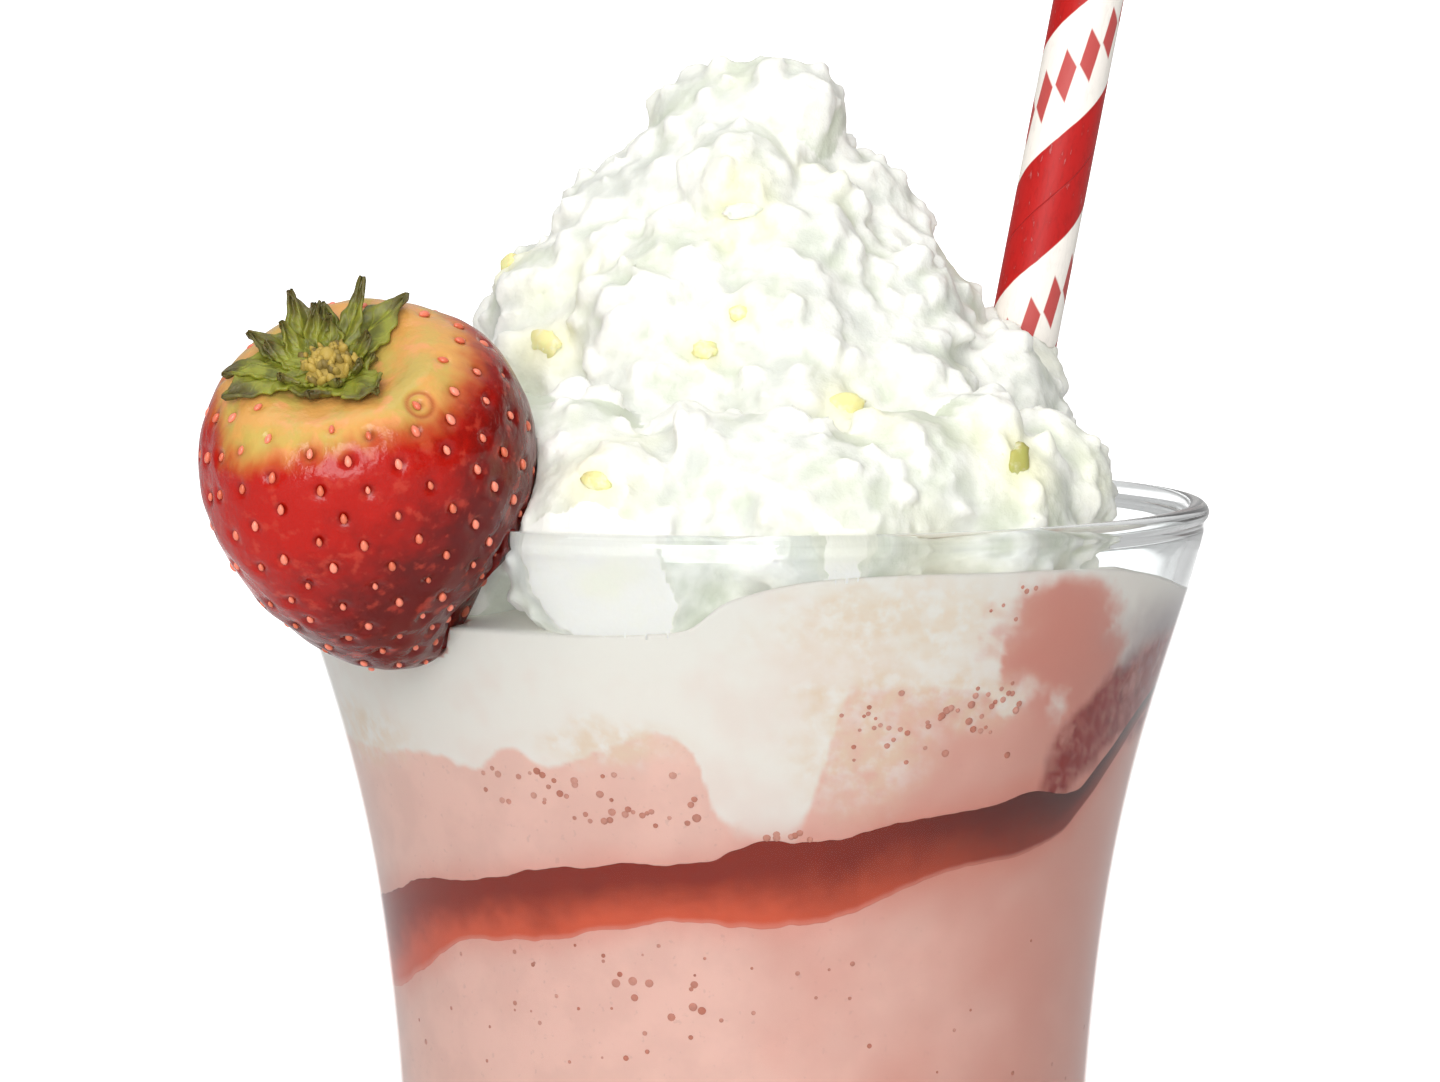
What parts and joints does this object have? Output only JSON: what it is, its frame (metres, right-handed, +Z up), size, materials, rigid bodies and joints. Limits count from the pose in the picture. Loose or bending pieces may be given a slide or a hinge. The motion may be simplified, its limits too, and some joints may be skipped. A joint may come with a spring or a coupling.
{
  "type": "strawberry milkshake",
  "caption": "Strawberry milkshake in a flared clear glass, with syrup on the inside of the wall, a heap of whipped cream, a strawberry on the rim and a striped paper straw.",
  "frame": {"origin": "centre of the glass's flat underside", "axes": "+Z up along the glass's axis, -Y towards the side seen in the picture, +X towards the side the straw leans to"},
  "size_m": [0.0983, 0.0976, 0.2232],
  "materials": {
    "clear_glass": "clear, smooth",
    "drink": "smooth liquid with small bubbles",
    "syrup": "glossy",
    "cream": "soft matte",
    "fruit": "waxy sheen",
    "leaf": "matte leaf",
    "straw_paper": "matte printed paper"
  },
  "bodies": {
    "root": {"glass": "clear_glass", "milkshake": "drink", "strawberry_syrup": "syrup", "whipped_cream": "cream", "strawberry": "fruit", "calyx": "leaf", "straw": "straw_paper"}
  },
  "joints": []
}
